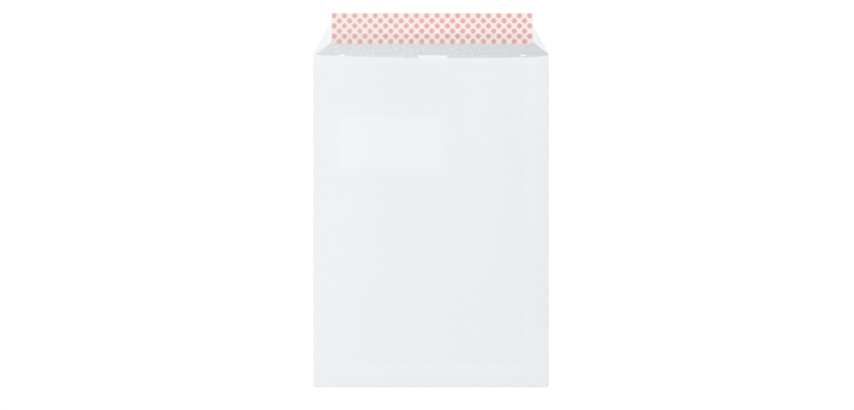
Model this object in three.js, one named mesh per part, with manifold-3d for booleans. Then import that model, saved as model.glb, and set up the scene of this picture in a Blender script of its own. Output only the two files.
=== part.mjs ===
import * as THREE from "three";
import { mergeVertices } from "three/addons/utils/BufferGeometryUtils.js";
import Module from "manifold-3d";

// A pocket envelope of vellum-finish paper, lying on its address side with the closing flap laid open.
// One die-cut sheet is folded and glued into the pocket, a clear film closes the window in the address
// panel, and the flap carries a band of adhesive under a release liner.
// Lengths are in millimetres and angles in degrees. +X runs across the pocket, +Y towards the flap, +Z up.
// The origin is under the middle of the whole outline, on the surface that the envelope lies on.

// Pocket
const POCKET_WIDTH = 229;
const POCKET_LENGTH = 324;
const PAPER_THICKNESS = 0.15;

// Pressed folds: the clear height left inside one, and how far a turned ply laps the address panel
const CREASE_GAP = 0.2;
const FOLD_LAP = 2;

// Spring of the back panel: straight flanks along its closed edges, then a soft bend up to the level middle
const MOUTH_RISE = 7;
const SIDE_FLANK = 36;
const SIDE_BEND = 30;
const BOTTOM_FLANK = 60;
const BOTTOM_BEND = 90;

// Throat, the mouth edge of the back panel, as drops below the flap fold: a shallow V with eased corners
const THROAT_MIDDLE_DROP = 4.5;
const THROAT_LEFT_DROP = 1.4;
const THROAT_RIGHT_DROP = 3;
const THROAT_CORNER_DROP = 0.6;
const THROAT_CORNER_EASE = 14;

// Seam flaps, turned in under the back panel, whose cut edges stop short of the folds
const SIDE_FLAP_WIDTH = 23.5;
const SIDE_FLAP_TOP_GAP = 0.5;
const SIDE_FLAP_TOP_SLANT = 30;
const BOTTOM_FLAP_WIDTH = 23.5;
const CORNER_RELIEF = 1.5;
const CORNER_MITRE = 45;
const SEAM_INSET = 2;

// Closing flap, whose sides stand upright at the fold and then slant in
const FLAP_DEPTH = 39.6;
const FLAP_SIDE_RISER = 2;
const FLAP_SIDE_SLANT = 29.8;
const FLAP_SHOULDER = 0.5;
const FLAP_TIP_RADIUS = 4;

// Window, placed from the left fold and from the flap fold, and its film
const WINDOW_WIDTH = 100;
const WINDOW_HEIGHT = 50;
const WINDOW_FROM_SIDE = 25;
const WINDOW_FROM_FLAP = 60;
const WINDOW_RADIUS = 4;
const FILM_THICKNESS = 0.04;
const FILM_MARGIN = 8;
const FILM_RADIUS = 2;

// Adhesive band, and the liner over it
const ADHESIVE_THICKNESS = 0.1;
const ADHESIVE_WIDTH = 17;
const ADHESIVE_TIP_MARGIN = 2.4;
const ADHESIVE_END_MARGIN = 3;
const LINER_THICKNESS = 0.08;
const LINER_WIDTH = 30.2;
const LINER_LIP = 0.5;
const LINER_END_COVER = 8.3;
const LINER_OFFSET = 1.1;
const LINER_RADIUS = 0.8;

// Mesh fineness
const FOLD_STEPS = 6;
const ROUND_STEPS = 3;
const BACK_COLUMNS = 32;
const BACK_ROWS = 20;
const FLAP_COLUMNS = 4;
const EDGE_CROWDING = 0.6;

// Lines and levels worked out from the sizes above
const half = POCKET_WIDTH / 2;
const bottomY = -(POCKET_LENGTH + FLAP_DEPTH + LINER_LIP) / 2;
const foldY = bottomY + POCKET_LENGTH;
const tipY = foldY + FLAP_DEPTH;
const seamRadius = PAPER_THICKNESS + CREASE_GAP / 2;
const backRadius = seamRadius + PAPER_THICKNESS / 2;
const flapTipHalf = half - FLAP_SHOULDER - (FLAP_DEPTH - FLAP_SIDE_RISER) * slope(FLAP_SIDE_SLANT);
const windowLeft = -half + WINDOW_FROM_SIDE;
const windowRight = windowLeft + WINDOW_WIDTH;
const windowTop = foldY - WINDOW_FROM_FLAP;
const windowBottom = windowTop - WINDOW_HEIGHT;
const adhesiveHalf = flapTipHalf - ADHESIVE_END_MARGIN;
const adhesiveTop = tipY - ADHESIVE_TIP_MARGIN;
const adhesiveLevel = PAPER_THICKNESS;
const linerHalf = adhesiveHalf + LINER_END_COVER;
const linerTop = tipY + LINER_LIP;
const linerLevel = adhesiveLevel + ADHESIVE_THICKNESS;

const paperFinish = new THREE.MeshStandardMaterial({ color: 0xeeeff1, roughness: 0.85, metalness: 0 });
const filmFinish = new THREE.MeshStandardMaterial({ color: 0xf2f5f6, roughness: 0.12, metalness: 0 });
const adhesiveFinish = new THREE.MeshStandardMaterial({ color: 0xeee9d9, roughness: 0.3, metalness: 0 });
const linerFinish = new THREE.MeshStandardMaterial({ color: 0xefd5d4, roughness: 0.45, metalness: 0 });

const wasm = await Module();
wasm.setup();

// Run over rise of a line that leans by an angle.
function slope(degrees) {
  return Math.tan(THREE.MathUtils.degToRad(degrees));
}

// A closed geometry as a solid for joining.
function solidOf(geometry) {
  const bare = geometry.clone();
  bare.deleteAttribute("normal");
  bare.deleteAttribute("uv");
  const merged = mergeVertices(bare);
  const vertProperties = Float32Array.from(merged.attributes.position.array);
  const triVerts = Uint32Array.from(merged.index.array);
  return new wasm.Manifold(new wasm.Mesh({ numProp: 3, vertProperties, triVerts }));
}

// A joined solid as a geometry again.
function geometryOf(solid) {
  const { vertProperties, triVerts } = solid.getMesh();
  const geometry = new THREE.BufferGeometry();
  geometry.setAttribute("position", new THREE.BufferAttribute(vertProperties, 3));
  geometry.setIndex(new THREE.BufferAttribute(triVerts, 1));
  geometry.computeVertexNormals();
  return geometry;
}

// The outline of an upright rectangle with round corners, drawn on a shape or a hole.
function roundedRectangle(path, left, right, bottom, top, radius) {
  path.moveTo(left + radius, bottom);
  path.absarc(right - radius, bottom + radius, radius, -Math.PI / 2, 0);
  path.absarc(right - radius, top - radius, radius, 0, Math.PI / 2);
  path.absarc(left + radius, top - radius, radius, Math.PI / 2, Math.PI);
  path.absarc(left + radius, bottom + radius, radius, Math.PI, 1.5 * Math.PI);
  return path;
}

// A flat layer of the given outline and thickness, lying at a level.
function layer(shape, thickness, level) {
  const settings = { depth: thickness, bevelEnabled: false, curveSegments: ROUND_STEPS };
  return new THREE.ExtrudeGeometry(shape, settings).translate(0, 0, level);
}

// From 0 at a closed edge to 1: straight up the flank, then eased through the bend to level.
function spring(distance, flank, bend) {
  const eased = THREE.MathUtils.clamp(distance - flank, 0, bend);
  return (Math.min(distance, flank + bend) - eased ** 2 / (2 * bend)) / (flank + bend / 2);
}

// How far the back panel has sprung up over a place: nothing at its side and bottom folds.
function rise(x, y) {
  const across = spring(half - Math.abs(x), SIDE_FLANK, SIDE_BEND);
  const along = spring(y - bottomY, BOTTOM_FLANK, BOTTOM_BEND);
  return MOUTH_RISE * across * along;
}

// The throat falls straight from each side to the middle, and curves up to the folds at its corners.
function throatY(x) {
  const sideDrop = x < 0 ? THROAT_LEFT_DROP : THROAT_RIGHT_DROP;
  const straightDrop = THREE.MathUtils.lerp(THROAT_MIDDLE_DROP, sideDrop, Math.abs(x) / half);
  const ease = THREE.MathUtils.clamp((half - Math.abs(x)) / THROAT_CORNER_EASE, 0, 1);
  return foldY - THREE.MathUtils.lerp(THROAT_CORNER_DROP, straightDrop, ease * (2 - ease));
}

// Shares of a width, from 0 to 1, with the steps closer together at both ends.
function crowdedShares(count) {
  const even = Array.from({ length: count + 1 }, (_, k) => k / count);
  return even.map((share) => share - EDGE_CROWDING * Math.sin(2 * Math.PI * share) / (2 * Math.PI));
}

// A ply turned back over the address panel, as a closed sheet. Its section laps the panel, goes round the
// fold and runs on to the free edge, with a the distance in from the fold. place(a, share) gives x and y,
// where share runs along the fold. Past the fold it follows the rise, and bond thickens it into the ply
// above.
function turnedPly({ radius, width, columns, rows, bond, place }) {
  const outer = [{ a: radius + FOLD_LAP, z: 0, sprung: 0 }];
  const inner = [{ a: radius + FOLD_LAP, z: PAPER_THICKNESS, sprung: 0 }];
  const foldPoint = (r, turn) => {
    return { a: radius - r * Math.cos(turn), z: radius + r * Math.sin(turn), sprung: 0 };
  };
  for (let k = 0; k < FOLD_STEPS; k += 1) {
    const turn = Math.PI * (k / FOLD_STEPS - 0.5);
    outer.push(foldPoint(radius, turn));
    inner.push(foldPoint(radius - PAPER_THICKNESS, turn));
  }
  for (const share of crowdedShares(columns)) {
    const a = THREE.MathUtils.lerp(radius, width, share);
    outer.push({ a, z: 2 * radius + bond, sprung: 1 });
    inner.push({ a, z: 2 * radius - PAPER_THICKNESS, sprung: 1 });
  }

  const loop = [...outer, ...inner.toReversed()];
  const count = loop.length;
  const positions = [];
  for (let j = 0; j <= rows; j += 1) {
    for (const { a, z, sprung } of loop) {
      const [x, y] = place(a, j / rows);
      positions.push(x, y, z + sprung * rise(x, y));
    }
  }

  const index = [];
  const quad = (a, b, c, d) => index.push(a, b, c, a, c, d);
  for (let j = 0; j < rows; j += 1) {
    for (let i = 0; i < count; i += 1) {
      const next = (i + 1) % count;
      quad(j * count + i, j * count + next, (j + 1) * count + next, (j + 1) * count + i);
    }
  }
  const end = rows * count;
  for (let i = 0; i < outer.length - 1; i += 1) {
    const mate = count - 1 - i;
    quad(i, mate, mate - 1, i + 1);
    quad(end + i, end + i + 1, end + mate - 1, end + mate);
  }
  const geometry = new THREE.BufferGeometry();
  geometry.setAttribute("position", new THREE.Float32BufferAttribute(positions, 3));
  geometry.setIndex(index);
  return geometry;
}

// Address panel and closing flap, flat in one piece, with the window cut out.
function flatPanels() {
  const left = -half + backRadius;
  const right = half - seamRadius;
  const bottom = bottomY + seamRadius;
  const shoulder = half - FLAP_SHOULDER;
  const roundDown = FLAP_TIP_RADIUS;
  const roundOut = roundDown * slope(FLAP_SIDE_SLANT);
  const shape = new THREE.Shape();
  shape.moveTo(left, bottom);
  shape.lineTo(right, bottom);
  shape.lineTo(right, foldY);
  shape.lineTo(shoulder, foldY);
  shape.lineTo(shoulder, foldY + FLAP_SIDE_RISER);
  shape.lineTo(flapTipHalf + roundOut, tipY - roundDown);
  shape.quadraticCurveTo(flapTipHalf, tipY, flapTipHalf - FLAP_TIP_RADIUS, tipY);
  shape.lineTo(FLAP_TIP_RADIUS - flapTipHalf, tipY);
  shape.quadraticCurveTo(-flapTipHalf, tipY, -flapTipHalf - roundOut, tipY - roundDown);
  shape.lineTo(-shoulder, foldY + FLAP_SIDE_RISER);
  shape.lineTo(-shoulder, foldY);
  shape.lineTo(left, foldY);
  const opening = new THREE.Path();
  roundedRectangle(opening, windowLeft, windowRight, windowBottom, windowTop, WINDOW_RADIUS);
  shape.holes.push(opening);
  return layer(shape, PAPER_THICKNESS, 0);
}

// Back panel, turned over the left fold and cut to the throat at its mouth.
function backPanel() {
  return turnedPly({
    radius: backRadius,
    width: POCKET_WIDTH - SEAM_INSET,
    columns: BACK_COLUMNS,
    rows: BACK_ROWS,
    bond: 0,
    place: (a, share) => {
      const x = a - half;
      return [x, THREE.MathUtils.lerp(bottomY + SEAM_INSET, throatY(x), share)];
    },
  });
}

// Side seam flap, turned in over the right fold and glued under the back panel.
function sideFlap() {
  return turnedPly({
    radius: seamRadius,
    width: SIDE_FLAP_WIDTH,
    columns: FLAP_COLUMNS,
    rows: BACK_ROWS,
    bond: PAPER_THICKNESS / 2,
    place: (a, share) => {
      const top = foldY - SIDE_FLAP_TOP_GAP - a * slope(SIDE_FLAP_TOP_SLANT);
      const bottom = bottomY + CORNER_RELIEF + a * slope(CORNER_MITRE);
      return [half - a, THREE.MathUtils.lerp(top, bottom, share)];
    },
  });
}

// Bottom seam flap, turned up over the bottom fold and glued under the back panel.
function bottomFlap() {
  return turnedPly({
    radius: seamRadius,
    width: BOTTOM_FLAP_WIDTH,
    columns: FLAP_COLUMNS,
    rows: BACK_COLUMNS,
    bond: PAPER_THICKNESS / 2,
    place: (a, share) => {
      const end = half - CORNER_RELIEF - a * slope(CORNER_MITRE);
      return [THREE.MathUtils.lerp(end, -end, share), bottomY + a];
    },
  });
}

// The whole sheet, folded and glued.
function envelopeSheet() {
  const turned = [backPanel(), sideFlap(), bottomFlap()];
  const solid = turned.reduce((sheet, ply) => sheet.add(solidOf(ply)), solidOf(flatPanels()));
  return new THREE.Mesh(geometryOf(solid), paperFinish);
}

// Clear film, glued to the inner face of the address panel all round the window.
function windowFilm() {
  const outline = roundedRectangle(
    new THREE.Shape(),
    windowLeft - FILM_MARGIN,
    windowRight + FILM_MARGIN,
    windowBottom - FILM_MARGIN,
    windowTop + FILM_MARGIN,
    FILM_RADIUS,
  );
  return new THREE.Mesh(layer(outline, FILM_THICKNESS, PAPER_THICKNESS), filmFinish);
}

// Adhesive band along the unprinted tip of the flap.
function flapAdhesive() {
  const outline = new THREE.Shape();
  outline.moveTo(-adhesiveHalf, adhesiveTop - ADHESIVE_WIDTH);
  outline.lineTo(adhesiveHalf, adhesiveTop - ADHESIVE_WIDTH);
  outline.lineTo(adhesiveHalf, adhesiveTop);
  outline.lineTo(-adhesiveHalf, adhesiveTop);
  return new THREE.Mesh(layer(outline, ADHESIVE_THICKNESS, adhesiveLevel), adhesiveFinish);
}

// Release liner, a straight strip that stands past the adhesive on every side, laid a little off the middle.
function releaseLiner() {
  const left = LINER_OFFSET - linerHalf;
  const right = LINER_OFFSET + linerHalf;
  const bottom = linerTop - LINER_WIDTH;
  const outline = roundedRectangle(new THREE.Shape(), left, right, bottom, linerTop, LINER_RADIUS);
  return new THREE.Mesh(layer(outline, LINER_THICKNESS, linerLevel), linerFinish);
}

const pieces = {
  envelope_sheet: envelopeSheet(),
  window_film: windowFilm(),
  flap_adhesive: flapAdhesive(),
  release_liner: releaseLiner(),
};

const envelope = new THREE.Group();
for (const [name, mesh] of Object.entries(pieces)) {
  mesh.name = name;
  envelope.add(mesh);
}

export default envelope;
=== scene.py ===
from functools import partial
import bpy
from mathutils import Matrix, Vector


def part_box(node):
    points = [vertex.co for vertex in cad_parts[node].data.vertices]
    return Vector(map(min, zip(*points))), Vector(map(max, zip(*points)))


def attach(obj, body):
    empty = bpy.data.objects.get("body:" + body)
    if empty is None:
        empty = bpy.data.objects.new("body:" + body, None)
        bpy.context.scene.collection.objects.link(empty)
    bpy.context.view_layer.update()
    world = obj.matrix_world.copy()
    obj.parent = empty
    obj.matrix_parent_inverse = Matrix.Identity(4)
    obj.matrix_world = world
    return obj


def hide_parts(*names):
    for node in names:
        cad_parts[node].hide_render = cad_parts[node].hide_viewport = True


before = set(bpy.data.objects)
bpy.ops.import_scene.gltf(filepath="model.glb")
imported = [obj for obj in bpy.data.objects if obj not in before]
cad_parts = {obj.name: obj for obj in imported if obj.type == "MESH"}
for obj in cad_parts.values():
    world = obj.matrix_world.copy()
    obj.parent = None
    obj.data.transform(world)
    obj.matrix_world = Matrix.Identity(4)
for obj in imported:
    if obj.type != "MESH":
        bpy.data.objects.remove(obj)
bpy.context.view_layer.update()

from types import SimpleNamespace

import bpy
import numpy as np

bl_info = {
    "name": "Vellum envelope",
    "version": (1, 0, 0),
    "blender": (4, 5, 0),
    "location": "View3D > Sidebar > Envelope",
    "description": "Builds a pocket envelope of vellum-finish paper over its CAD solids",
    "category": "Add Mesh",
}

MM = 0.001

# Corners of the CAD solids, in metres
SHEET_LOW, SHEET_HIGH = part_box("envelope_sheet")
FILM_LOW, FILM_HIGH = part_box("window_film")
ADHESIVE_LOW, ADHESIVE_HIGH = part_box("flap_adhesive")
LINER_LOW, LINER_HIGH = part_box("release_liner")

# What the solids give: the film lies on one ply of paper, and the back panel's crown is the mouth's rise
# above three plies and a crease
PAPER = FILM_LOW.z
CREASE = 0.2 * MM
MOUTH_RISE = SHEET_HIGH.z - 3 * PAPER - CREASE

# Faint waves of the paper: the lengths in which they turn by one radian, the cockle's start and sway in
# radians, and the liner's wave as a share of its lift
COCKLE_ACROSS = 13 * MM
COCKLE_ALONG = 19 * MM
COCKLE_START = 0.7
SWAY_ALONG = 31 * MM
SWAY = 0.8
LINER_WAVE_ACROSS = 23 * MM
LINER_WAVE = 0.4

# Mesh fineness: steps in metres, the liner's columns as a share of half its length, and the rings of the
# band round the window as shares of its width
PANEL_STEP = 4 * MM
CORNER_STEP = 1 * MM
LINER_STEP = 2 * MM
LINER_COLUMN_STEP = 0.02
WINDOW_RINGS = (0, 0.1, 0.4, 1)
FOLD_STEPS = 8
ROUND_STEPS = 6
WELD = 0.001 * MM

# A Mix node's sockets for two colours and their mix, which share their names with those for other data
MIX_A, MIX_B, MIX_RESULT = 6, 7, 2


def linear(code):
    """Linear colour, with alpha, of an sRGB hex value."""
    srgb = np.array([int(code[start:start + 2], 16) for start in (1, 3, 5)]) / 255
    rgb = np.where(srgb <= 0.04045, srgb / 12.92, ((srgb + 0.055) / 1.055) ** 2.4)
    return (*rgb.tolist(), 1.0)


def length(name, metres, description):
    """A size that a user may change."""
    return bpy.props.FloatProperty(
        name=name, description=description, default=metres, unit="LENGTH", precision=5)


def angle(name, degrees, description):
    """A slant that a user may change."""
    return bpy.props.FloatProperty(
        name=name, description=description, default=np.radians(degrees),
        unit="ROTATION", subtype="ANGLE")


def number(name, value, description):
    """A plain number that a user may change."""
    return bpy.props.FloatProperty(name=name, description=description, default=value, precision=4)


def colour(name, code, description):
    """A colour that a user may change, given as an sRGB hex value."""
    return bpy.props.FloatVectorProperty(
        name=name, description=description, default=linear(code), size=4, min=0, max=1, subtype="COLOR")


class EnvelopeSheet(bpy.types.PropertyGroup):
    """Sizes of the folded paper sheet."""

    width: length("Pocket width", SHEET_HIGH.x - SHEET_LOW.x, "Across the pocket, fold to fold")
    pocket: length("Pocket length", 324 * MM, "From the bottom fold to the flap fold")
    paper: length("Paper", PAPER, "Thickness of the paper")
    crease: length("Crease gap", CREASE, "Clear height left inside a pressed fold")
    mouth_rise: length("Mouth rise", MOUTH_RISE, "How far the back panel has sprung up")
    cockle: length("Cockle", 0.12 * MM, "Height of the back panel's faint waves")
    side_flank: length("Side flank", 36 * MM, "Straight slope along the sides")
    side_bend: length("Side bend", 30 * MM, "Soft bend above the side flank")
    bottom_flank: length("Bottom flank", 60 * MM, "Straight slope along the bottom")
    bottom_bend: length("Bottom bend", 90 * MM, "Soft bend above the bottom flank")
    throat_middle: length("Throat middle", 4.5 * MM, "From the flap fold to the mouth's middle")
    throat_left: length("Throat left", 1.4 * MM, "From the flap fold to the mouth's left side")
    throat_right: length("Throat right", 3 * MM, "From the flap fold to the mouth's right side")
    throat_corner: length("Throat corner", 0.6 * MM, "From the flap fold to the mouth's two ends")
    throat_ease: length("Throat ease", 14 * MM, "Width of the curve up to the mouth's ends")
    seam_width: length("Seam flap", 23.5 * MM, "Width of the side and bottom seam flaps")
    seam_inset: length("Seam inset", 2 * MM, "From the folds to the back panel's cut edges")
    seam_top_gap: length("Side flap top gap", 0.5 * MM, "From the flap fold to the side flap's end")
    seam_top_slant: angle("Side flap top slant", 30, "Slant of the side flap's upper end")
    corner_relief: length("Corner relief", 1.5 * MM, "Gap at the corner where the seam flaps meet")
    glue: length("Glue line", 0.01 * MM, "Thickness of the glue on the seam flaps")
    flap_riser: length("Flap riser", 2 * MM, "Upright run of the flap's sides at its fold")
    flap_slant: angle("Flap side slant", 29.8, "Slant of the flap's sides above that")
    flap_shoulder: length("Flap shoulder", 0.5 * MM, "From the side folds to the flap's sides")
    flap_round: length("Flap tip radius", 4 * MM, "Round of the flap's corners")
    film_margin: length("Film margin", 8 * MM, "How far the film laps the paper")
    window_round: length("Window radius", 4 * MM, "Round of the window's corners")
    window_border: length("Window border", 6 * MM, "Width of the mesh band round the window")


class EnvelopeLiner(bpy.types.PropertyGroup):
    """Sizes of the release liner and its print."""

    corner: length("Corner radius", 0.8 * MM, "Round of the liner's corners")
    edge_lift: length("Free edge lift", 0.35 * MM, "How far the free edge stands off the flap")
    end_lift: length("End lift", 0.7 * MM, "How far the two ends stand off the flap")
    dot: length("Dot", 5.4 * MM, "Diameter of a printed dot")
    dot_middle: length("Dot middle", 2.6 * MM, "Diameter of a dot's denser middle")
    dot_pitch: length("Dot pitch", 10 * MM, "From dot to dot in a row, and twice the rows' spacing")
    dot_from_left: length("First dot", 2.75 * MM, "From the liner's left end to the first dot")
    dot_from_top: length("First row", 2.85 * MM, "From the liner's upper edge to the first row")
    side_margin: length("Side margin", 0.4 * MM, "From the liner's ends to its print")
    top_margin: length("Top margin", 0.6 * MM, "From the liner's upper edge to its print")


class EnvelopeTint(bpy.types.PropertyGroup):
    """Sizes of the tint that is printed on the inside."""

    reach: length("Reach on the flap", 19.45 * MM, "How far the tint runs up the flap from its fold")
    half_width: length("Half width", 112.7 * MM, "From the print's middle to its sides, at the fold")
    offset: length("Offset", 1.5 * MM, "How far the print is off the envelope's middle")
    side_run: number("Side run", 1.26, "How far its sides run in for each length up the flap")
    hatch: length("Hatch pitch", 1.4 * MM, "Pitch of the tint's crossed lines")
    mouth_margin: length("Mouth margin", 9.5 * MM, "From the flap fold to the back panel's print")
    bottom_margin: length("Bottom margin", 1.8 * MM, "Unprinted margin along the bottom fold")
    panel_width: length("Bare panel width", 28.2 * MM, "Width of the unprinted panel")
    panel_height: length("Bare panel height", 9.9 * MM, "Height of the unprinted panel")
    panel_drop: length("Bare panel drop", 1.3 * MM, "From the flap fold to the unprinted panel")
    mark_from_middle: length("Register mark", 88 * MM, "From the print's middle to a register mark")
    mark_width: length("Mark width", 5.6 * MM, "Width of a register mark")
    mark_height: length("Mark height", 1.6 * MM, "Height of a register mark")
    mark_drop: length("Mark drop", 0.5 * MM, "From the flap fold to the register marks")


class EnvelopeColours(bpy.types.PropertyGroup):
    """Colours of the finishes."""

    paper: colour("Paper outside", "#EEEFF1", "Paper over the print that shows through it")
    bare: colour("Paper inside", "#F5F6F7", "Unprinted paper of the inner side")
    tint_ground: colour("Tint ground", "#E4E5E7", "Paper between the tint's lines")
    tint_ink: colour("Tint ink", "#CFD0D2", "Grey ink of the tint")
    edge: colour("Cut edge", "#F2F2F0", "Cut edge of the paper")
    liner: colour("Liner", "#F5EBE8", "Release paper between the dots")
    dot: colour("Dot", "#EBB4B3", "Salmon ink of the dots")
    dot_middle: colour("Dot middle", "#E3A2A2", "Denser ink in a dot's middle")
    adhesive: colour("Adhesive", "#EFEBDD", "Adhesive band")
    film: colour("Film", "#F6F9FA", "Clear film in the window")
    floor: colour("Floor", "#F9F9F9", "Studio floor")


class EnvelopeStage(bpy.types.PropertyGroup):
    """The studio round the envelope."""

    view_width: length("View width", 830 * MM, "Width of floor that the camera sees")
    view_reach: length("View reach", 100, "Farthest that the camera sees")
    aim_x: length("Aim across", -3.74 * MM, "Place under the camera, across the pocket")
    aim_y: length("Aim along", -4.79 * MM, "Place under the camera, along the pocket")
    lens: bpy.props.FloatProperty(
        name="Lens", description="Focal length of the camera", default=200, subtype="DISTANCE_CAMERA")
    lean_left: angle("Key lean to the left", 8, "Slant of the key light to the left")
    lean_up: angle("Key lean to the flap", 8, "Slant of the key light to the flap")
    softness: angle("Key softness", 25, "Width of the key light in the sky")
    key: number("Key level", 2.72, "Strength of the key light")
    fill: number("Fill level", 0.13, "Strength of the light from all round")
    glow: number("Floor glow", 0.09, "What the floor adds where it is seen as background")
    floor_size: length("Floor size", 40, "Side of the floor")
    floor_gap: length("Floor gap", 0.02 * MM, "From the floor up to the envelope")


class EnvelopeSettings(bpy.types.PropertyGroup):
    """All that a user may change."""

    sheet: bpy.props.PointerProperty(name="Sheet", description="Sizes of the sheet", type=EnvelopeSheet)
    liner: bpy.props.PointerProperty(name="Liner", description="Sizes of the liner", type=EnvelopeLiner)
    tint: bpy.props.PointerProperty(name="Tint", description="Sizes of the tint", type=EnvelopeTint)
    colours: bpy.props.PointerProperty(name="Colours", description="Colours", type=EnvelopeColours)
    stage: bpy.props.PointerProperty(name="Stage", description="The studio", type=EnvelopeStage)


def lerp(start, end, part):
    """Straight mix of two values."""
    return start + (end - start) * part


def throat(x, sheet, plan):
    """Mouth edge of the back panel: straight from each side to the middle.

    A parabola takes it up to each fold."""
    side = np.where(x < 0, sheet.throat_left, sheet.throat_right)
    straight = lerp(sheet.throat_middle, side, np.abs(x) / plan.half)
    ease = np.clip((plan.half - np.abs(x)) / sheet.throat_ease, 0, 1)
    return plan.fold - lerp(sheet.throat_corner, straight, ease * (2 - ease))


def plan_of(sheet):
    """Lines and levels of the folded sheet, worked out from its sizes."""
    half = sheet.width / 2
    bottom = SHEET_LOW.y
    fold = bottom + sheet.pocket
    seam_radius = sheet.paper + sheet.crease / 2
    back_radius = seam_radius + sheet.paper / 2
    top_run = np.tan(sheet.seam_top_slant)
    window_low = np.array(FILM_LOW[:2]) + sheet.film_margin
    window_high = np.array(FILM_HIGH[:2]) - sheet.film_margin
    plan = SimpleNamespace(
        half=half,
        bottom=bottom,
        fold=fold,
        tip=SHEET_HIGH.y,
        shoulder=half - sheet.flap_shoulder,
        # Outer radii of the folds, and the lines at which the address panel turns into them
        seam_radius=seam_radius,
        back_radius=back_radius,
        left=back_radius - half,
        right=half - seam_radius,
        # Ends of the turned panels, along their folds
        back_low=bottom + sheet.seam_inset,
        side_low=bottom + sheet.corner_relief + seam_radius,
        side_high=fold - sheet.seam_top_gap - seam_radius * top_run,
        top_run=top_run,
        mitre_end=half - sheet.corner_relief - seam_radius,
        # The window, and the hole in the address panel's grid that takes the band round it
        window_low=window_low,
        window_high=window_high,
        hole_low=window_low - sheet.window_border,
        hole_high=window_high + sheet.window_border,
    )
    plan.back_high = throat(plan.left, sheet, plan)
    return plan


def grid_lines(stations, step):
    """Lines through all the stations, with even steps of at most `step` between them."""
    stations = np.unique(stations)
    counts = np.ceil(np.diff(stations) / step).astype(int)
    spans = zip(stations, stations[1:], counts)
    runs = [np.linspace(low, high, count, endpoint=False) for low, high, count in spans]
    return np.concatenate([*runs, stations[-1:]])


def shares_between(lines, low, high):
    """Places of the lines that lie from low to high, as shares from 0 to 1."""
    kept = lines[(lines >= low - WELD) & (lines <= high + WELD)]
    return np.clip((kept - low) / (high - low), 0, 1)


def patch(points):
    """Corners and four-sided faces of a grid of points [u, v]; the faces look along u cross v."""
    corner = np.arange(points[..., 0].size).reshape(points.shape[:2])
    faces = np.stack([corner[:-1, :-1], corner[1:, :-1], corner[1:, 1:], corner[:-1, 1:]], axis=-1)
    return points.reshape(-1, 3), faces.reshape(-1, 4)


def welded(patches):
    """One mesh from several patches: corners at the same place become one, and loose corners go."""
    starts = np.cumsum([0] + [len(points) for points, _ in patches[:-1]])
    points = np.concatenate([points for points, _ in patches])
    faces = np.concatenate([faces + start for (_, faces), start in zip(patches, starts)])
    places = np.round(points / WELD).astype(np.int64)
    _, first, mate = np.unique(places, axis=0, return_index=True, return_inverse=True)
    used, faces = np.unique(mate.reshape(-1)[faces], return_inverse=True)
    return points[first[used]], faces.reshape(-1, 4)


def spring(distance, flank, bend):
    """From 0 at a closed edge to 1: straight up the flank, then a parabola through the bend to level."""
    eased = np.clip(distance - flank, 0, bend)
    return (np.minimum(distance, flank + bend) - eased ** 2 / (2 * bend)) / (flank + bend / 2)


def rise(x, y, sheet, plan):
    """Height of the sprung back panel: one spring from its sides times one from its bottom.

    They scale the mouth's rise and the cockle on it: a sine across, which a second sine sways along the
    pocket, times a sine along."""
    across = spring(plan.half - np.abs(x), sheet.side_flank, sheet.side_bend)
    along = spring(y - plan.bottom, sheet.bottom_flank, sheet.bottom_bend)
    sway = SWAY * np.sin(y / SWAY_ALONG)
    wave = np.sin(x / COCKLE_ACROSS + sway) * np.sin(y / COCKLE_ALONG + COCKLE_START)
    return (sheet.mouth_rise + sheet.cockle * wave) * across * along


def turned_ply(radius, run, place, sheet, plan, bond=0.0):
    """Middle surface of a ply that is turned over a fold, as points [distance, share].

    Its section is a half circle of the fold's middle radius and then a level run at the distances `run`
    from the fold. From the fold on it stands as high as the back panel has risen there, less the glue
    line `bond`. The function `place` gives x and y for a distance."""
    turn = np.linspace(-np.pi / 2, np.pi / 2, FOLD_STEPS + 1)
    middle = radius - sheet.paper / 2
    free = np.ones(len(run))
    distance = np.concatenate([radius - middle * np.cos(turn), run])[:, None]
    level = np.concatenate([radius + middle * np.sin(turn), free * (radius + middle)])[:, None]
    lifted = np.concatenate([(1 + np.sin(turn)) / 2, free])[:, None]
    x, y = np.broadcast_arrays(*place(distance))
    return np.stack([x, y, level + lifted * (rise(x, y, sheet, plan) - bond)], axis=-1)


def address_panel(columns, rows, sheet, plan):
    """Flat grid of the address panel, at the middle of its ply, with a hole for the window's band."""
    y, x = np.meshgrid(rows, columns, indexing="ij")
    points, faces = patch(np.stack([x, y, np.full_like(x, sheet.paper / 2)], axis=-1))
    middle = points[faces].mean(axis=1)[:, :2]
    in_hole = ((middle > plan.hole_low) & (middle < plan.hole_high)).all(axis=1)
    return points, faces[~in_hole]


def window_band(columns, rows, sheet, plan):
    """Flat band round the window, from its rounded outline out to the hole in the address panel.

    Each point of the hole's edge has its mate on the outline: the nearest point of the window's core
    rectangle, gone out towards the edge by the corner radius. The band runs straight between mates."""
    low, high = plan.hole_low, plan.hole_high
    across = columns[(columns >= low[0]) & (columns <= high[0])]
    along = rows[(rows >= low[1]) & (rows <= high[1])]
    sides = [(across, low[1]), (high[0], along), (across[::-1], high[1]), (low[0], along[::-1])]
    edge = np.concatenate([np.stack(np.broadcast_arrays(*side), axis=-1)[:-1] for side in sides])
    edge = np.concatenate([edge, edge[:1]])
    core = np.clip(edge, plan.window_low + sheet.window_round, plan.window_high - sheet.window_round)
    out = edge - core
    outline = core + sheet.window_round * out / np.linalg.norm(out, axis=-1, keepdims=True)
    flat = lerp(outline[:, None], edge[:, None], np.array(WINDOW_RINGS)[None, :, None])
    level = np.full((*flat.shape[:2], 1), sheet.paper / 2)
    return patch(np.concatenate([flat, level], axis=-1))


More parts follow.
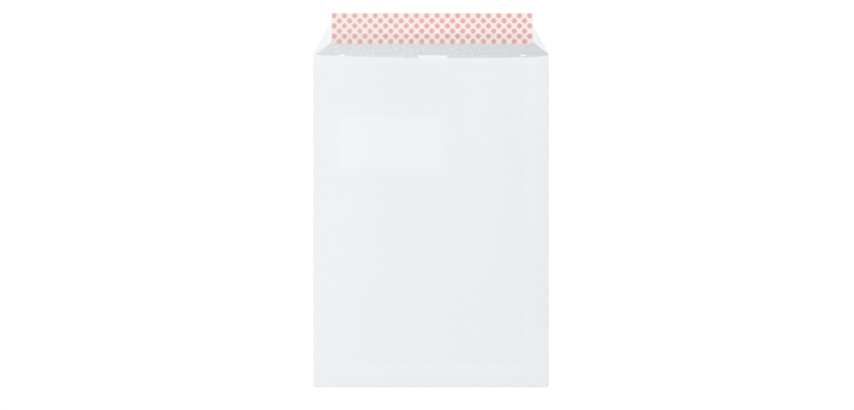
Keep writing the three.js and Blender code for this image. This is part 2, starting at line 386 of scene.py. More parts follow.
def flap_half_width(y, sheet, plan):
    """Half the closing flap's width: upright at the fold, then straight slanted sides.

    A quadratic curve goes round each corner of the tip."""
    slant = np.tan(sheet.flap_slant)
    straight = plan.shoulder - np.clip(y - plan.fold - sheet.flap_riser, 0, None) * slant
    corner = plan.shoulder - (plan.tip - plan.fold - sheet.flap_riser) * slant
    part = 1 - np.sqrt(np.clip((plan.tip - y) / sheet.flap_round, 0, 1))
    start = corner + sheet.flap_round * slant
    end = corner - sheet.flap_round
    curve = (1 - part) ** 2 * start + 2 * part * (1 - part) * corner + part ** 2 * end
    return np.where(part > 0, curve, straight)


def closing_flap(columns, sheet, plan):
    """Flat grid of the closing flap: in each row the address panel's columns, drawn in to its width.

    Round the corners of the tip, the rows' distance from it falls with the square of their count."""
    straight = grid_lines(
        [plan.fold, plan.fold + sheet.flap_riser, plan.tip - sheet.flap_round], PANEL_STEP)
    left = 1 - np.arange(1, ROUND_STEPS + 1) / ROUND_STEPS
    rows = np.concatenate([straight, plan.tip - sheet.flap_round * left ** 2])[:, None]
    across = lerp(-1, 1, shares_between(columns, -plan.shoulder, plan.shoulder))
    x, y = np.broadcast_arrays(across * flap_half_width(rows, sheet, plan), rows)
    return patch(np.stack([x, y, np.full_like(x, sheet.paper / 2)], axis=-1))


def back_panel(rows, sheet, plan):
    """The ply that is turned over the left fold, its rows spread from its lower edge to the throat."""
    ease = sheet.throat_ease
    run = np.concatenate([
        grid_lines([plan.back_radius, ease], CORNER_STEP),
        grid_lines([ease, plan.half, sheet.width - ease], PANEL_STEP)[1:],
        grid_lines([sheet.width - ease, sheet.width - sheet.seam_inset], CORNER_STEP)[1:],
    ])[1:]
    share = shares_between(rows, plan.back_low, plan.back_high)

    def place(distance):
        x = distance - plan.half
        return x, lerp(plan.back_low, throat(x, sheet, plan), share)

    return patch(turned_ply(plan.back_radius, run, place, sheet, plan))


def seam_flaps(columns, rows, sheet, plan):
    """The plies that are turned over the right and the bottom fold.

    They meet in a mitre of 45 degrees, the bottom flap ends in another, and the side flap's upper end is
    straight and slanted."""
    radius = plan.seam_radius
    run = grid_lines([radius, sheet.seam_width], PANEL_STEP)[1:]
    side_share = shares_between(rows, plan.side_low, plan.side_high)
    bottom_share = lerp(-1, 1, shares_between(columns, -plan.mitre_end, plan.mitre_end))

    def place_side(distance):
        inward = distance - radius
        low, high = plan.side_low + inward, plan.side_high - inward * plan.top_run
        return plan.half - distance, lerp(low, high, side_share)

    def place_bottom(distance):
        inward = distance - radius
        return (plan.mitre_end - inward) * bottom_share, plan.bottom + distance

    places = (place_side, place_bottom)
    plies = [turned_ply(radius, run, place, sheet, plan, sheet.glue) for place in places]
    return [patch(ply.transpose(1, 0, 2)) for ply in plies]


def sheet_mesh(sheet, plan):
    """Middle surface of the whole folded sheet: corners, and faces that look out of its outer side.

    The other panels start on the edges of the address panel, on the same grid lines, so that the welded
    mesh is one sheet."""
    columns = grid_lines([
        plan.left, -plan.shoulder, -plan.mitre_end, plan.hole_low[0],
        plan.hole_high[0], plan.mitre_end, plan.shoulder, plan.right,
    ], PANEL_STEP)
    rows = grid_lines([
        plan.bottom + plan.seam_radius, plan.back_low, plan.side_low, plan.hole_low[1],
        plan.hole_high[1], plan.side_high, plan.back_high, plan.fold,
    ], PANEL_STEP)
    return welded([
        address_panel(columns, rows, sheet, plan),
        window_band(columns, rows, sheet, plan),
        closing_flap(columns, sheet, plan),
        back_panel(rows, sheet, plan),
        *seam_flaps(columns, rows, sheet, plan),
    ])


def liner_mesh(liner):
    """Middle surface of the release liner, a strip with rounded corners.

    Over the adhesive it lies flat. Past that it lifts with the square of the distance, towards its free
    lower edge and its two ends, and a long sine wave varies the free edge."""
    low, high = np.array(LINER_LOW), np.array(LINER_HIGH)
    centre, reach = (low + high) / 2, (high - low) / 2
    corner = liner.corner
    rim = corner * (1 - np.cos(np.linspace(0, np.pi / 2, ROUND_STEPS + 1)))
    rows = np.concatenate([
        low[1] + rim,
        grid_lines([low[1] + corner, ADHESIVE_LOW.y, high[1] - corner], LINER_STEP)[1:-1],
        high[1] - rim[::-1],
    ])[:, None]
    edge = np.minimum(rows - low[1], high[1] - rows)
    to_round = np.clip(corner - edge, 0, None)
    inset = corner - np.sqrt(np.clip(corner ** 2 - to_round ** 2, 0, None))
    ends = (np.array([ADHESIVE_LOW.x, ADHESIVE_HIGH.x]) - centre[0]) / reach[0]
    across = grid_lines([-1, *ends, 1], LINER_COLUMN_STEP)
    x, y = np.broadcast_arrays(centre[0] + across * (reach[0] - inset), rows)
    free_edge = np.clip((ADHESIVE_LOW.y - y) / (ADHESIVE_LOW.y - low[1]), 0, 1)
    left_end = np.clip((ADHESIVE_LOW.x - x) / (ADHESIVE_LOW.x - low[0]), 0, 1)
    right_end = np.clip((x - ADHESIVE_HIGH.x) / (high[0] - ADHESIVE_HIGH.x), 0, 1)
    wave = 1 + LINER_WAVE * np.sin(x / LINER_WAVE_ACROSS)
    lift = liner.edge_lift * wave * free_edge ** 2 + liner.end_lift * (left_end ** 2 + right_end ** 2)
    return patch(np.stack([x, y, centre[2] + lift], axis=-1).transpose(1, 0, 2))


def add_piece(name, mesh_data, finishes, thickness, node):
    """A piece of paper in the scene: a middle surface with its thickness, in place of its CAD node.

    The finishes are for the side that the faces look out of, the other side and the cut edges. Where
    there are only two, the cut edges take the second."""
    points, faces = mesh_data
    mesh = bpy.data.meshes.new(name)
    mesh.from_pydata(points, [], faces)
    mesh.shade_smooth()
    side = np.empty(len(mesh.loops), dtype=np.int32)
    mesh.loops.foreach_get("edge_index", side)
    cut = np.bincount(side, minlength=len(mesh.edges)) == 1
    mesh.attributes.new("sharp_edge", "BOOLEAN", "EDGE").data.foreach_set("value", cut)
    for finish in finishes:
        mesh.materials.append(finish)
    piece = bpy.data.objects.new(name, mesh)
    bpy.context.scene.collection.objects.link(piece)
    walls = piece.modifiers.new("Thickness", "SOLIDIFY")
    walls.thickness = thickness
    walls.offset = 0
    walls.use_even_offset = True
    walls.material_offset = 1
    walls.material_offset_rim = 2
    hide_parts(node)
    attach(piece, "root")


def add_node(tree, kind, inputs=None, stops=(), **settings):
    """Add a shader node and give its outputs.

    Its inputs are values or links, its stops are the places and tones of a ramp, and its settings are
    attributes."""
    node = tree.nodes.new("ShaderNode" + kind)
    for name, value in settings.items():
        setattr(node, name, value)
    for name, value in (inputs or {}).items():
        if isinstance(value, bpy.types.NodeSocket):
            tree.links.new(value, node.inputs[name])
        else:
            node.inputs[name].default_value = value
    for _ in stops[2:]:
        node.color_ramp.elements.new(1)
    for element, (position, tone) in zip(node.color_ramp.elements if stops else (), stops):
        element.position = position
        element.color = (tone, tone, tone, 1)
    return node.outputs


def new_material(name):
    """A material with an empty node tree, and the function that adds its nodes."""
    material = bpy.data.materials.new(name)
    material.use_nodes = True
    material.node_tree.nodes.clear()
    return material, partial(add_node, material.node_tree)


def place_of(add):
    """A surface's own coordinates in metres: the vector, x, y and z."""
    place = add("TexCoord")["Object"]
    parts = add("SeparateXYZ", {"Vector": place})
    return place, parts["X"], parts["Y"], parts["Z"]


def soft_box(add, place, low, high, soft):
    """1 inside an upright box seen from above, going to 0 over its soft outline."""
    centre = [(a + b) / 2 for a, b in zip(low, high)]
    reach = [(b - a) / 2 for a, b in zip(low, high)]
    offset = add("VectorMath", {0: place, 1: (*centre, 0)}, operation="SUBTRACT")[0]
    offset = add("VectorMath", {0: offset}, operation="ABSOLUTE")[0]
    offset = add("VectorMath", {0: offset, 1: (*reach, 0)}, operation="SUBTRACT")[0]
    parts = add("SeparateXYZ", {"Vector": offset})
    outside = add("Math", {0: parts["X"], 1: parts["Y"]}, operation="MAXIMUM")[0]
    return add("MapRange", {"Value": outside, "From Min": soft / 2, "From Max": -soft / 2},
               interpolation_type="SMOOTHSTEP")[0]


def paper_tooth(add, place):
    """The paper's tooth, as a tone from 0 to 1 and as a bump.

    Its fibres lie along the sheet's length. They are drawn 0.6 mm wide, some twenty times their size, so
    that they show at all."""
    along = add("Mapping", {"Vector": place, "Scale": (1, 0.4, 1)})[0]
    fibre = add("TexNoise", {
        "Vector": along, "Scale": 1 / (0.6 * MM), "Detail": 4, "Roughness": 0.65})["Fac"]
    bump = add("Bump", {"Height": fibre, "Strength": 0.35, "Distance": 0.05 * MM})[0]
    return fibre, bump


def bare_panel_box(tint, plan):
    """Lower left and upper right corner of the unprinted panel at the throat."""
    left = tint.offset - tint.panel_width / 2
    top = plan.fold - tint.panel_drop
    return (left, top - tint.panel_height), (left + tint.panel_width, top)


def seam_plies_and_shade(add, x, y, sheet, plan):
    """What the glued seam flaps add to the back panel's tone, by the distance in from their folds.

    It is 0 for a single ply. Painted shade darkens a line along the back panel's cut edge and another
    along the flap's inner edge. A dark gap runs along the mitre that the two flaps meet in."""
    from_right = add("Math", {0: plan.half, 1: x}, operation="SUBTRACT")[0]
    from_left = add("Math", {0: plan.half, 1: x}, operation="ADD")[0]
    from_bottom = add("Math", {0: y, 1: plan.bottom}, operation="SUBTRACT")[0]
    # Beside its left mitre the bottom flap is put a metre away, out of reach
    beside = add("Math", {0: from_bottom, 1: from_left}, operation="GREATER_THAN")[0]
    from_bottom = add("Math", {0: from_bottom, 1: beside}, operation="ADD")[0]
    from_fold = add("Math", {0: from_right, 1: from_bottom}, operation="MINIMUM")[0]

    plain, span = 0.5, 40 * MM
    inset, width = sheet.seam_inset, sheet.seam_width
    tones = [
        (0, plain),
        # Painted shade along the cut edge of the back panel
        (0.8 * inset, 0.32),  # along the cut edge of the back panel
        (1.2 * inset, 0.42),
        (10.4 * MM, 0.46),  # two plies without glue
        (11.6 * MM, 0.6),  # two plies with glue
        (0.97 * width, 0.62),
        # Painted shade along the flap's inner edge
        (1.02 * width, 0.42),  # along the flap's inner edge
        (1.1 * width, plain),
    ]
    part = add("Math", {0: from_fold, 1: span}, operation="DIVIDE")[0]
    plies = add("ValToRGB", {"Fac": part}, stops=[(at / span, tone) for at, tone in tones])[0]
    plies = add("Math", {0: plies, 1: plain}, operation="SUBTRACT")[0]

    gap_tone, soft, relief = 0.14, 0.3 * MM, sheet.corner_relief
    from_mitre = add("Math", {0: from_right, 1: from_bottom}, operation="SUBTRACT")[0]
    from_mitre = add("Math", {0: from_mitre}, operation="ABSOLUTE")[0]
    gap = add("MapRange", {
        "Value": from_mitre, "From Min": relief + soft, "From Max": relief - soft, "To Max": gap_tone})[0]
    on_flap = add("Math", {0: from_fold, 1: width}, operation="LESS_THAN")[0]
    gap = add("Math", {0: gap, 1: on_flap}, operation="MULTIPLY")[0]
    return add("Math", {0: plies, 1: gap}, operation="SUBTRACT")[0]


def vellum_outside(settings, plan):
    """Finish of the sheet's outer side."""
    # Uncoated wove paper with a vellum finish, lightly calendered: matt, bright white with a cold cast,
    # and so thin that the tint, the film, the window and the glued plies behind it show faintly.
    tint, colours = settings.tint, settings.colours
    material, add = new_material("vellum_paper_outside")
    place, x, y, z = place_of(add)
    fibre, bump = paper_tooth(add, place)
    cloud = add("TexNoise", {
        "Vector": place, "Scale": 1 / (9 * MM), "Detail": 3, "Roughness": 0.6})["Fac"]

    # The glue has taken unevenly, with the cloudy spread of the fibres.
    # The seam flaps show through as paler bands, with painted shade along the cut edges and the flaps'
    # inner edges.
    plies = seam_plies_and_shade(add, x, y, settings.sheet, plan)
    taken = add("MapRange", {
        "Value": cloud, "From Min": 0.3, "From Max": 0.7, "To Min": 0.7, "To Max": 1.3})[0]
    shown = add("Math", {0: plies, 1: taken}, operation="MULTIPLY")[0]

    # What lets more light back: the film, the window, and the unprinted panel and margin at the throat.
    # Painted light makes the paper lighter towards the left fold. On the right, painted light and shade
    # make it lighter towards the mouth and darker towards the bottom.
    film = soft_box(add, place, FILM_LOW.xy, FILM_HIGH.xy, 3 * MM)
    window = soft_box(add, place, plan.window_low, plan.window_high, 2 * MM)
    bare = soft_box(add, place, *bare_panel_box(tint, plan), 2 * MM)
    edge = plan.fold - tint.mouth_margin
    margin = add("MapRange", {"Value": y, "From Min": edge - MM, "From Max": edge + 2 * MM},
                 interpolation_type="SMOOTHSTEP")[0]
    painted_light_left = add("MapRange", {"Value": x, "From Min": -0.2 * plan.half, "From Max": -plan.half})[0]
    right = add("MapRange", {"Value": x, "From Max": plan.half})[0]
    upward = add("MapRange", {
        "Value": y, "From Min": plan.bottom, "From Max": plan.fold, "To Min": -1})[0]
    painted_light_and_shade_right = add("Math", {0: right, 1: upward}, operation="MULTIPLY")[0]
    for light, gain in (
        (film, 0.08), (window, 0.18), (bare, 0.12), (margin, 0.14), (painted_light_left, 0.14), (painted_light_and_shade_right, 0.24),
    ):
        shown = add("Math", {0: light, 1: gain, 2: shown}, operation="MULTIPLY_ADD")[0]

    # Only the back panel and the seam flaps lie this high; the address side shows none of it.
    upper = add("Math", {0: z, 1: plan.back_radius}, operation="GREATER_THAN")[0]
    shown = add("Math", {0: shown, 1: upper}, operation="MULTIPLY")[0]
    relief = add("Math", {0: plies, 1: upper}, operation="MULTIPLY")[0]
    bump = add("Bump", {
        "Height": relief, "Strength": 0.5, "Distance": settings.sheet.paper, "Normal": bump})[0]

    tone = 0.973
    for part, gain in ((shown, 0.1), (fibre, 0.03), (cloud, 0.024)):
        tone = add("Math", {0: part, 1: gain, 2: tone}, operation="MULTIPLY_ADD")[0]
    paint = add("VectorMath", {0: colours.paper[:3], "Scale": tone}, operation="SCALE")[0]
    rough = add("MapRange", {"Value": fibre, "To Min": 0.78, "To Max": 0.92})[0]
    surface = add("BsdfPrincipled", {
        "Base Color": paint, "Roughness": rough, "Normal": bump, "IOR": 1.5})[0]
    add("OutputMaterial", {"Surface": surface})
    return material


def tint_print(add, place, x, y, settings, plan):
    """Colour of the printed tint: two sets of slanting lines, broken up, and darker to the right, partly
    from denser ink and partly from painted shade.
    """
    tint, colours = settings.tint, settings.colours
    turn = 2 * np.pi / tint.hatch * np.sqrt(0.5)
    waves = []
    for operation in ("ADD", "SUBTRACT"):
        slanted = add("Math", {0: x, 1: y}, operation=operation)[0]
        slanted = add("Math", {0: slanted, 1: turn}, operation="MULTIPLY")[0]
        waves.append(add("Math", {0: slanted}, operation="SINE")[0])
    lattice = add("Math", {0: waves[0], 1: waves[1]}, operation="ADD")[0]

    # The break-up weighs more than the lines, and half its weight is the middle of the soft threshold.
    weight, soft = 8, 1
    broken = add("TexNoise", {"Vector": place, "Scale": 1 / (2.2 * MM), "Detail": 2})["Fac"]
    lattice = add("Math", {0: broken, 1: weight, 2: lattice}, operation="MULTIPLY_ADD")[0]
    ground = add("MapRange", {
        "Value": lattice, "From Min": weight / 2 - soft, "From Max": weight / 2 + soft,
    }, interpolation_type="SMOOTHSTEP")[0]
    printed = add("Mix", {
        "Factor": ground, MIX_A: colours.tint_ink, MIX_B: colours.tint_ground,
    }, data_type="RGBA")[MIX_RESULT]
    # Darker towards the right: partly denser ink, partly painted shade.
    ink_and_painted_shade = add("MapRange", {
        "Value": x, "From Min": -plan.half, "From Max": plan.half, "To Min": 1.055, "To Max": 0.945,
    })[0]
    return add("VectorMath", {0: printed, "Scale": ink_and_painted_shade}, operation="SCALE")[0]


def tint_cover(add, place, x, y, z, tint, plan):
    """How far the tint covers a place, from 0 to 1.

    It lies inside its slanted sides on the flap and down to the bottom margin, without the two register
    marks and most of the bare panel, which keeps a little tint as painted shade, and on the back panel
    only below the mouth margin."""
    soft = 0.6 * MM
    height = add("Math", {0: y, 1: plan.fold}, operation="SUBTRACT")[0]
    off_middle = add("Math", {0: x, 1: tint.offset}, operation="SUBTRACT")[0]
    off_middle = add("Math", {0: off_middle}, operation="ABSOLUTE")[0]
    side = add("Math", {0: height, 1: tint.side_run, 2: off_middle}, operation="MULTIPLY_ADD")[0]
    start = tint.bottom_margin - plan.fold + plan.bottom
    cover = 1
    for value, outer, inner in (
        (side, tint.half_width + soft, tint.half_width - soft),
        (height, tint.reach + soft, tint.reach - soft),
        (height, start - soft, start + soft),
    ):
        within = add("MapRange", {"Value": value, "From Min": outer, "From Max": inner})[0]
        cover = add("Math", {0: cover, 1: within}, operation="MULTIPLY")[0]

    upper = add("Math", {0: z, 1: plan.back_radius}, operation="GREATER_THAN")[0]
    lower = add("Math", {0: 1, 1: upper}, operation="SUBTRACT")[0]
    mirrored = add("CombineXYZ", {"X": off_middle, "Y": y})[0]
    mark_left, mark_top = tint.mark_from_middle - tint.mark_width / 2, plan.fold - tint.mark_drop
    marks = soft_box(add, mirrored, (mark_left, mark_top - tint.mark_height),
                     (mark_left + tint.mark_width, mark_top), soft)
    panel = soft_box(add, place, *bare_panel_box(tint, plan), soft)
    margin = add("MapRange", {
        "Value": height, "From Min": -tint.mouth_margin - soft, "From Max": -tint.mouth_margin + soft,
    })[0]
    # The bare panel is left only 0.86 bare. The rest of the tint there is painted shade inside the mouth.
    for left_out, ply, part in ((panel, lower, 0.86), (marks, lower, 1), (margin, upper, 1)):
        left_out = add("Math", {0: left_out, 1: ply}, operation="MULTIPLY")[0]
        left_out = add("Math", {0: left_out, 1: part}, operation="MULTIPLY")[0]
        cover = add("Math", {0: cover, 1: left_out}, operation="SUBTRACT", use_clamp=True)[0]
    return cover


def vellum_inside(settings, plan):
    """Finish of the sheet's inner side."""
    # The same paper, printed grey all over the pocket and the lower flap so that nothing reads through.
    # Real tints are finer than 1 mm; this one is drawn as coarse as it needs to show.
    colours = settings.colours
    material, add = new_material("vellum_paper_tinted_inside")
    place, x, y, z = place_of(add)
    fibre, bump = paper_tooth(add, place)
    printed = tint_print(add, place, x, y, settings, plan)
    cover = tint_cover(add, place, x, y, z, settings.tint, plan)

    # Painted shade greys the bare paper towards the right.
    painted_shade_right = add("MapRange", {"Value": x, "From Max": plan.half, "To Min": 1, "To Max": 0.964})[0]
    bare = add("VectorMath", {0: colours.bare[:3], "Scale": painted_shade_right}, operation="SCALE")[0]
    base = add("Mix", {"Factor": cover, MIX_A: bare, MIX_B: printed}, data_type="RGBA")[MIX_RESULT]

    # The flap's crease, a soft groove just above the fold line, darkened with painted shade.
    groove_and_shade = add("Math", {0: y, 1: plan.fold + 0.4 * MM}, operation="SUBTRACT")[0]
    groove_and_shade = add("Math", {0: groove_and_shade}, operation="ABSOLUTE")[0]
    groove_and_shade = add("MapRange", {"Value": groove_and_shade, "From Min": 1.1 * MM, "From Max": 0.2 * MM},
                 interpolation_type="SMOOTHSTEP")[0]
    bump = add("Bump", {"Height": groove_and_shade, "Strength": 0.4, "Distance": 0.1 * MM, "Normal": bump},
               invert=True)[0]

    tone = 0.99
    # The groove's painted shade takes a little off the tone.
    for part, gain in ((fibre, 0.02), (groove_and_shade, -0.035)):
        tone = add("Math", {0: part, 1: gain, 2: tone}, operation="MULTIPLY_ADD")[0]
    paint = add("VectorMath", {0: base, "Scale": tone}, operation="SCALE")[0]
    rough = add("MapRange", {"Value": fibre, "To Min": 0.76, "To Max": 0.9})[0]
    surface = add("BsdfPrincipled", {
        "Base Color": paint, "Roughness": rough, "Normal": bump, "IOR": 1.5})[0]
    add("OutputMaterial", {"Surface": surface})
    return material


def mottled(add, place, grain, detail, colour, low, high):
    """A noise of the given grain, and a colour whose tone it varies from low to high."""
    noise = add("TexNoise", {"Vector": place, "Scale": 1 / grain, "Detail": detail})["Fac"]
    tone = add("MapRange", {"Value": noise, "To Min": low, "To Max": high})[0]
    return noise, add("VectorMath", {0: colour[:3], "Scale": tone}, operation="SCALE")[0]


def paper_edge(settings):
    """Finish of the cut edges."""
    # Die-cut paper: open fibres, rougher and a little warmer than the faces.
    material, add = new_material("cut_paper_edge")
    _, paint = mottled(add, place_of(add)[0], 0.3 * MM, 3, settings.colours.edge, 0.92, 1.04)
    surface = add("BsdfPrincipled", {"Base Color": paint, "Roughness": 0.92, "IOR": 1.5})[0]
    add("OutputMaterial", {"Surface": surface})
    return material


def from_dots(add, place, liner):
    """Distance from the middle of the nearest printed dot, in two sets of rows that are staggered."""
    half = liner.dot_pitch / 2
    flat = add("VectorMath", {0: place, 1: (1, 1, 0)}, operation="MULTIPLY")[0]
    first = np.array([LINER_LOW.x + liner.dot_from_left, LINER_HIGH.y - liner.dot_from_top, 0])
    distances = []
    for start in (first, first + (half, -half, 0)):
        offset = add("VectorMath", {0: flat, 1: tuple(start)}, operation="SUBTRACT")[0]
        offset = add("VectorMath", {0: offset, 1: (half, half, 1), 2: (-half, -half, -1)},
                     operation="WRAP")[0]
        distances.append(add("VectorMath", {0: offset}, operation="LENGTH")["Value"])
    return add("Math", {0: distances[0], 1: distances[1]}, operation="MINIMUM")[0]


def release_paper(settings, plan):
    """Finish of the liner's face, printed with staggered rows of dots."""
    # Supercalendered release paper: smooth, with a low soft gloss, and so thin that the tinted part of
    # the flap greys it from below. Each dot is a disc with a denser middle and a ragged edge, unevenly
    # inked. The ink runs denser from left to right.
    liner, colours = settings.liner, settings.colours
    material, add = new_material("printed_release_paper")
    place, x, y, _ = place_of(add)
    mottle = add("TexNoise", {"Vector": place, "Scale": 1 / (1.1 * MM), "Detail": 3})["Fac"]
    ragged = add("MapRange", {"Value": mottle, "To Min": -0.2 * MM, "To Max": 0.2 * MM})[0]
    from_dot = add("Math", {0: from_dots(add, place, liner), 1: ragged}, operation="ADD")[0]

    printed = soft_box(add, place, (LINER_LOW.x + liner.side_margin, LINER_LOW.y),
                       (LINER_HIGH.x - liner.side_margin, LINER_HIGH.y - liner.top_margin), 0.3 * MM)
    denser = add("MapRange", {
        "Value": x, "From Min": LINER_LOW.x, "From Max": LINER_HIGH.x, "To Min": 0.89, "To Max": 1.11,
    })[0]
    inking = add("TexNoise", {"Vector": place, "Scale": 1 / (6 * MM), "Detail": 1})["Fac"]
    inking = add("MapRange", {
        "Value": inking, "From Min": 0.35, "From Max": 0.65, "To Min": 0.82})[0]
    for part in (denser, printed):
        inking = add("Math", {0: inking, 1: part}, operation="MULTIPLY")[0]
    base = colours.liner
    for width, soft, ink in (
        (liner.dot, 0.4 * MM, colours.dot),
        (liner.dot_middle, 2 * MM, colours.dot_middle),
    ):
        inked = add("MapRange", {
            "Value": from_dot, "From Min": (width + soft) / 2, "From Max": (width - soft) / 2,
        }, interpolation_type="SMOOTHSTEP")[0]
        inked = add("Math", {0: inked, 1: inking}, operation="MULTIPLY")[0]
        base = add("Mix", {"Factor": inked, MIX_A: base, MIX_B: ink}, data_type="RGBA")[MIX_RESULT]

    reach = plan.fold + settings.tint.reach
    shade = add("MapRange", {"Value": y, "From Min": reach - MM, "From Max": reach + MM, "To Min": 0.9},
                interpolation_type="SMOOTHSTEP")[0]
    tone = add("Math", {0: mottle, 1: 0.03, 2: 0.985}, operation="MULTIPLY_ADD")[0]
    tone = add("Math", {0: tone, 1: shade}, operation="MULTIPLY")[0]
    paint = add("VectorMath", {0: base, "Scale": tone}, operation="SCALE")[0]
    rough = add("MapRange", {"Value": mottle, "To Min": 0.54, "To Max": 0.64})[0]
    surface = add("BsdfPrincipled", {
        "Base Color": paint, "Roughness": rough, "IOR": 1.45, "Specular IOR Level": 0.35})[0]
    add("OutputMaterial", {"Surface": surface})
    return material


def silicone_side(settings):
    """Finish of the liner's other side, which is not printed."""
    # The same release paper under its silicone coat, which the adhesive lets go of: plain and glossier.
    material, add = new_material("silicone_coated_release_paper")
    mottle, paint = mottled(add, place_of(add)[0], 1.1 * MM, 3, settings.colours.liner, 0.96, 1.02)
    rough = add("MapRange", {"Value": mottle, "To Min": 0.3, "To Max": 0.4})[0]
    surface = add("BsdfPrincipled", {"Base Color": paint, "Roughness": rough, "IOR": 1.43})[0]
    add("OutputMaterial", {"Surface": surface})
    return material


def window_film(settings):
    """Finish of the window's film."""
    # Cast polystyrene film, clear and glossy, pulled into faint ripples by the glue round the window.
    material, add = new_material("clear_polystyrene_film")
    place = place_of(add)[0]
    ripple = add("TexNoise", {"Vector": place, "Scale": 1 / (18 * MM), "Detail": 1})["Fac"]
    bump = add("Bump", {"Height": ripple, "Strength": 0.5, "Distance": 0.4 * MM})[0]
    rough = add("MapRange", {"Value": ripple, "To Min": 0.04, "To Max": 0.12})[0]
    surface = add("BsdfPrincipled", {
        "Base Color": settings.colours.film, "Roughness": rough, "IOR": 1.59, "Transmission Weight": 1,
        "Normal": bump})[0]
    add("OutputMaterial", {"Surface": surface})
    return material


def tacky_adhesive(settings):
    """Finish of the adhesive band."""
    # Pressure-sensitive acrylic adhesive, coated along the flap: milky and wet, with fine streaks.
    material, add = new_material("pressure_sensitive_adhesive")
    place = place_of(add)[0]
    drawn = add("Mapping", {"Vector": place, "Scale": (0.06, 1, 1)})[0]
    streak, paint = mottled(add, drawn, 0.9 * MM, 2, settings.colours.adhesive, 0.95, 1.03)
    bump = add("Bump", {"Height": streak, "Strength": 0.3, "Distance": 0.05 * MM})[0]
    surface = add("BsdfPrincipled", {
        "Base Color": paint, "Roughness": 0.24, "IOR": 1.47, "Normal": bump})[0]
    add("OutputMaterial", {"Surface": surface})
    return material


def seen_as_background(add):
    """1 for what is looked at straight, in gloss or through clear film.

    It is 0 for light that falls on the envelope."""
    ray = add("LightPath")
    seen = add("Math", {0: ray["Is Camera Ray"], 1: ray["Is Glossy Ray"]}, operation="MAXIMUM")[0]
    return add("Math", {0: seen, 1: ray["Is Transmission Ray"]}, operation="MAXIMUM")[0]


def studio_floor(settings):
    """Finish of the floor."""
    # A matt white sweep. It glows a little where it is seen as background, and it takes shadows.
    material, add = new_material("white_studio_sweep")
    glow = add("Math", {0: seen_as_background(add), 1: settings.stage.glow}, operation="MULTIPLY")[0]
    surface = add("BsdfPrincipled", {
        "Base Color": settings.colours.floor, "Roughness": 0.95, "Specular IOR Level": 0,
        "Emission Color": (1, 1, 1, 1), "Emission Strength": glow})[0]
    add("OutputMaterial", {"Surface": surface})
    return material


def add_floor(scene, settings):
    """The floor, one flat square just under the envelope."""
    stage = settings.stage
    side = np.array([-stage.floor_size / 2, stage.floor_size / 2])
    x, y = np.meshgrid(side, side, indexing="ij")
    points, faces = patch(np.stack([x, y, np.full_like(x, -stage.floor_gap)], axis=-1))
    mesh = bpy.data.meshes.new("floor")
    mesh.from_pydata(points, [], faces)
    mesh.materials.append(studio_floor(settings))
    floor = bpy.data.objects.new("floor", mesh)
    scene.collection.objects.link(floor)


def add_key(scene, stage):
    """The soft key light, which leans to the left and towards the flap."""
    lamp = bpy.data.lights.new("key", "SUN")
    lamp.energy = stage.key
    lamp.angle = stage.softness
    key = bpy.data.objects.new("key", lamp)
    key.rotation_euler = (-stage.lean_up, -stage.lean_left, 0)
    scene.collection.objects.link(key)


def add_fill(scene, stage):
    """The weak light from all round, white where it is seen as background."""
    world = bpy.data.worlds.new("soft_fill")
    world.use_nodes = True
    world.node_tree.nodes.clear()
    add = partial(add_node, world.node_tree)
    seen = seen_as_background(add)
    level = add("MapRange", {"Value": seen, "To Min": stage.fill, "To Max": 1})[0]
    light = add("Background", {"Color": (1, 1, 1, 1), "Strength": level})[0]
    add("OutputWorld", {"Surface": light})
    scene.world = world


def add_camera(scene, stage):
    """The camera, straight above the envelope, as high as the width of its view needs."""
    optics = bpy.data.cameras.new("camera")
    optics.lens = stage.lens
    optics.clip_end = stage.view_reach
    camera = bpy.data.objects.new("camera", optics)
    height = stage.view_width * optics.lens / optics.sensor_width
    camera.location = (stage.aim_x, stage.aim_y, height)
    scene.collection.objects.link(camera)
    scene.camera = camera


class ENVELOPE_OT_paper_sheet(bpy.types.Operator):
    """Build the folded paper sheet: address panel, back panel, seam flaps and closing flap"""

    bl_idname = "envelope.paper_sheet"
    bl_label = "Paper sheet"

    def execute(self, context):
        settings = context.scene.envelope
        plan = plan_of(settings.sheet)
        finishes = [vellum_outside(settings, plan), vellum_inside(settings, plan), paper_edge(settings)]
        add_piece("paper_sheet", sheet_mesh(settings.sheet, plan), finishes, settings.sheet.paper,
                  "envelope_sheet")
        return {"FINISHED"}


class ENVELOPE_OT_release_liner(bpy.types.Operator):
    """Build the printed liner that covers the adhesive"""

    bl_idname = "envelope.release_liner"
    bl_label = "Release liner"

    def execute(self, context):
        settings = context.scene.envelope
        finishes = [release_paper(settings, plan_of(settings.sheet)), silicone_side(settings)]
        add_piece("liner_strip", liner_mesh(settings.liner), finishes, LINER_HIGH.z - LINER_LOW.z,
                  "release_liner")
        return {"FINISHED"}


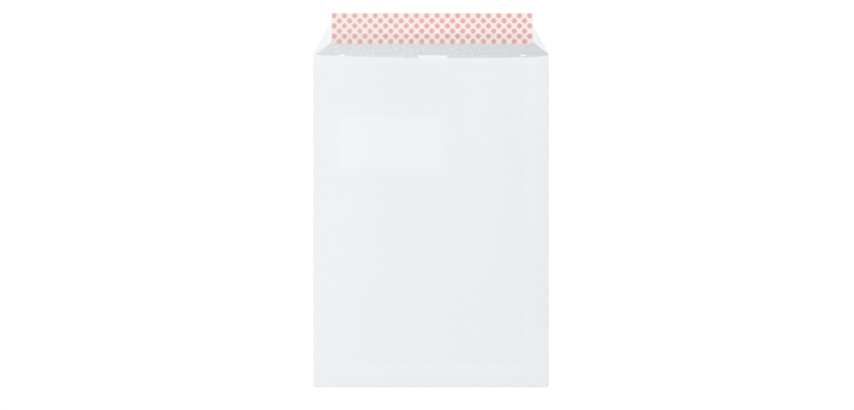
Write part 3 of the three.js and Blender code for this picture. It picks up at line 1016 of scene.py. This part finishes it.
class ENVELOPE_OT_film_and_adhesive(bpy.types.Operator):
    """Finish the window's film and the adhesive band, whose CAD solids are shown as they are"""

    bl_idname = "envelope.film_and_adhesive"
    bl_label = "Film and adhesive"

    def execute(self, context):
        settings = context.scene.envelope
        finishes = {"window_film": window_film(settings), "flap_adhesive": tacky_adhesive(settings)}
        for name, finish in finishes.items():
            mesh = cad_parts[name].data
            mesh.materials.clear()
            mesh.materials.append(finish)
        return {"FINISHED"}


class ENVELOPE_OT_stage(bpy.types.Operator):
    """Set up the floor, the soft key light, the fill and the camera above the envelope"""

    bl_idname = "envelope.stage"
    bl_label = "Stage"

    def execute(self, context):
        scene = context.scene
        settings = scene.envelope
        add_floor(scene, settings)
        add_key(scene, settings.stage)
        add_fill(scene, settings.stage)
        add_camera(scene, settings.stage)
        scene.view_settings.view_transform = "Standard"
        return {"FINISHED"}


class ENVELOPE_PT_panel(bpy.types.Panel):
    """The envelope's sizes, colours and steps"""

    bl_idname = "ENVELOPE_PT_panel"
    bl_label = "Vellum envelope"
    bl_space_type = "VIEW_3D"
    bl_region_type = "UI"
    bl_category = "Envelope"

    def draw(self, context):
        settings = context.scene.envelope
        for operator in OPERATORS:
            self.layout.operator(operator.bl_idname)
        for group in (settings.sheet, settings.liner, settings.tint, settings.colours, settings.stage):
            box = self.layout.box()
            for name in group.__annotations__:
                box.prop(group, name)


GROUPS = (EnvelopeSheet, EnvelopeLiner, EnvelopeTint, EnvelopeColours, EnvelopeStage, EnvelopeSettings)
OPERATORS = (
    ENVELOPE_OT_paper_sheet,
    ENVELOPE_OT_release_liner,
    ENVELOPE_OT_film_and_adhesive,
    ENVELOPE_OT_stage,
)


def register():
    """Register the classes and the scene's settings."""
    for cls in (*GROUPS, *OPERATORS, ENVELOPE_PT_panel):
        bpy.utils.register_class(cls)
    bpy.types.Scene.envelope = bpy.props.PointerProperty(
        name="Envelope", description="Settings of the vellum envelope", type=EnvelopeSettings)


def unregister():
    """Take the settings and the classes away again."""
    del bpy.types.Scene.envelope
    for cls in reversed((*GROUPS, *OPERATORS, ENVELOPE_PT_panel)):
        bpy.utils.unregister_class(cls)


def main():
    """Build the whole scene."""
    register()
    bpy.ops.envelope.paper_sheet()
    bpy.ops.envelope.release_liner()
    bpy.ops.envelope.film_and_adhesive()
    bpy.ops.envelope.stage()


if __name__ == "__main__":
    main()
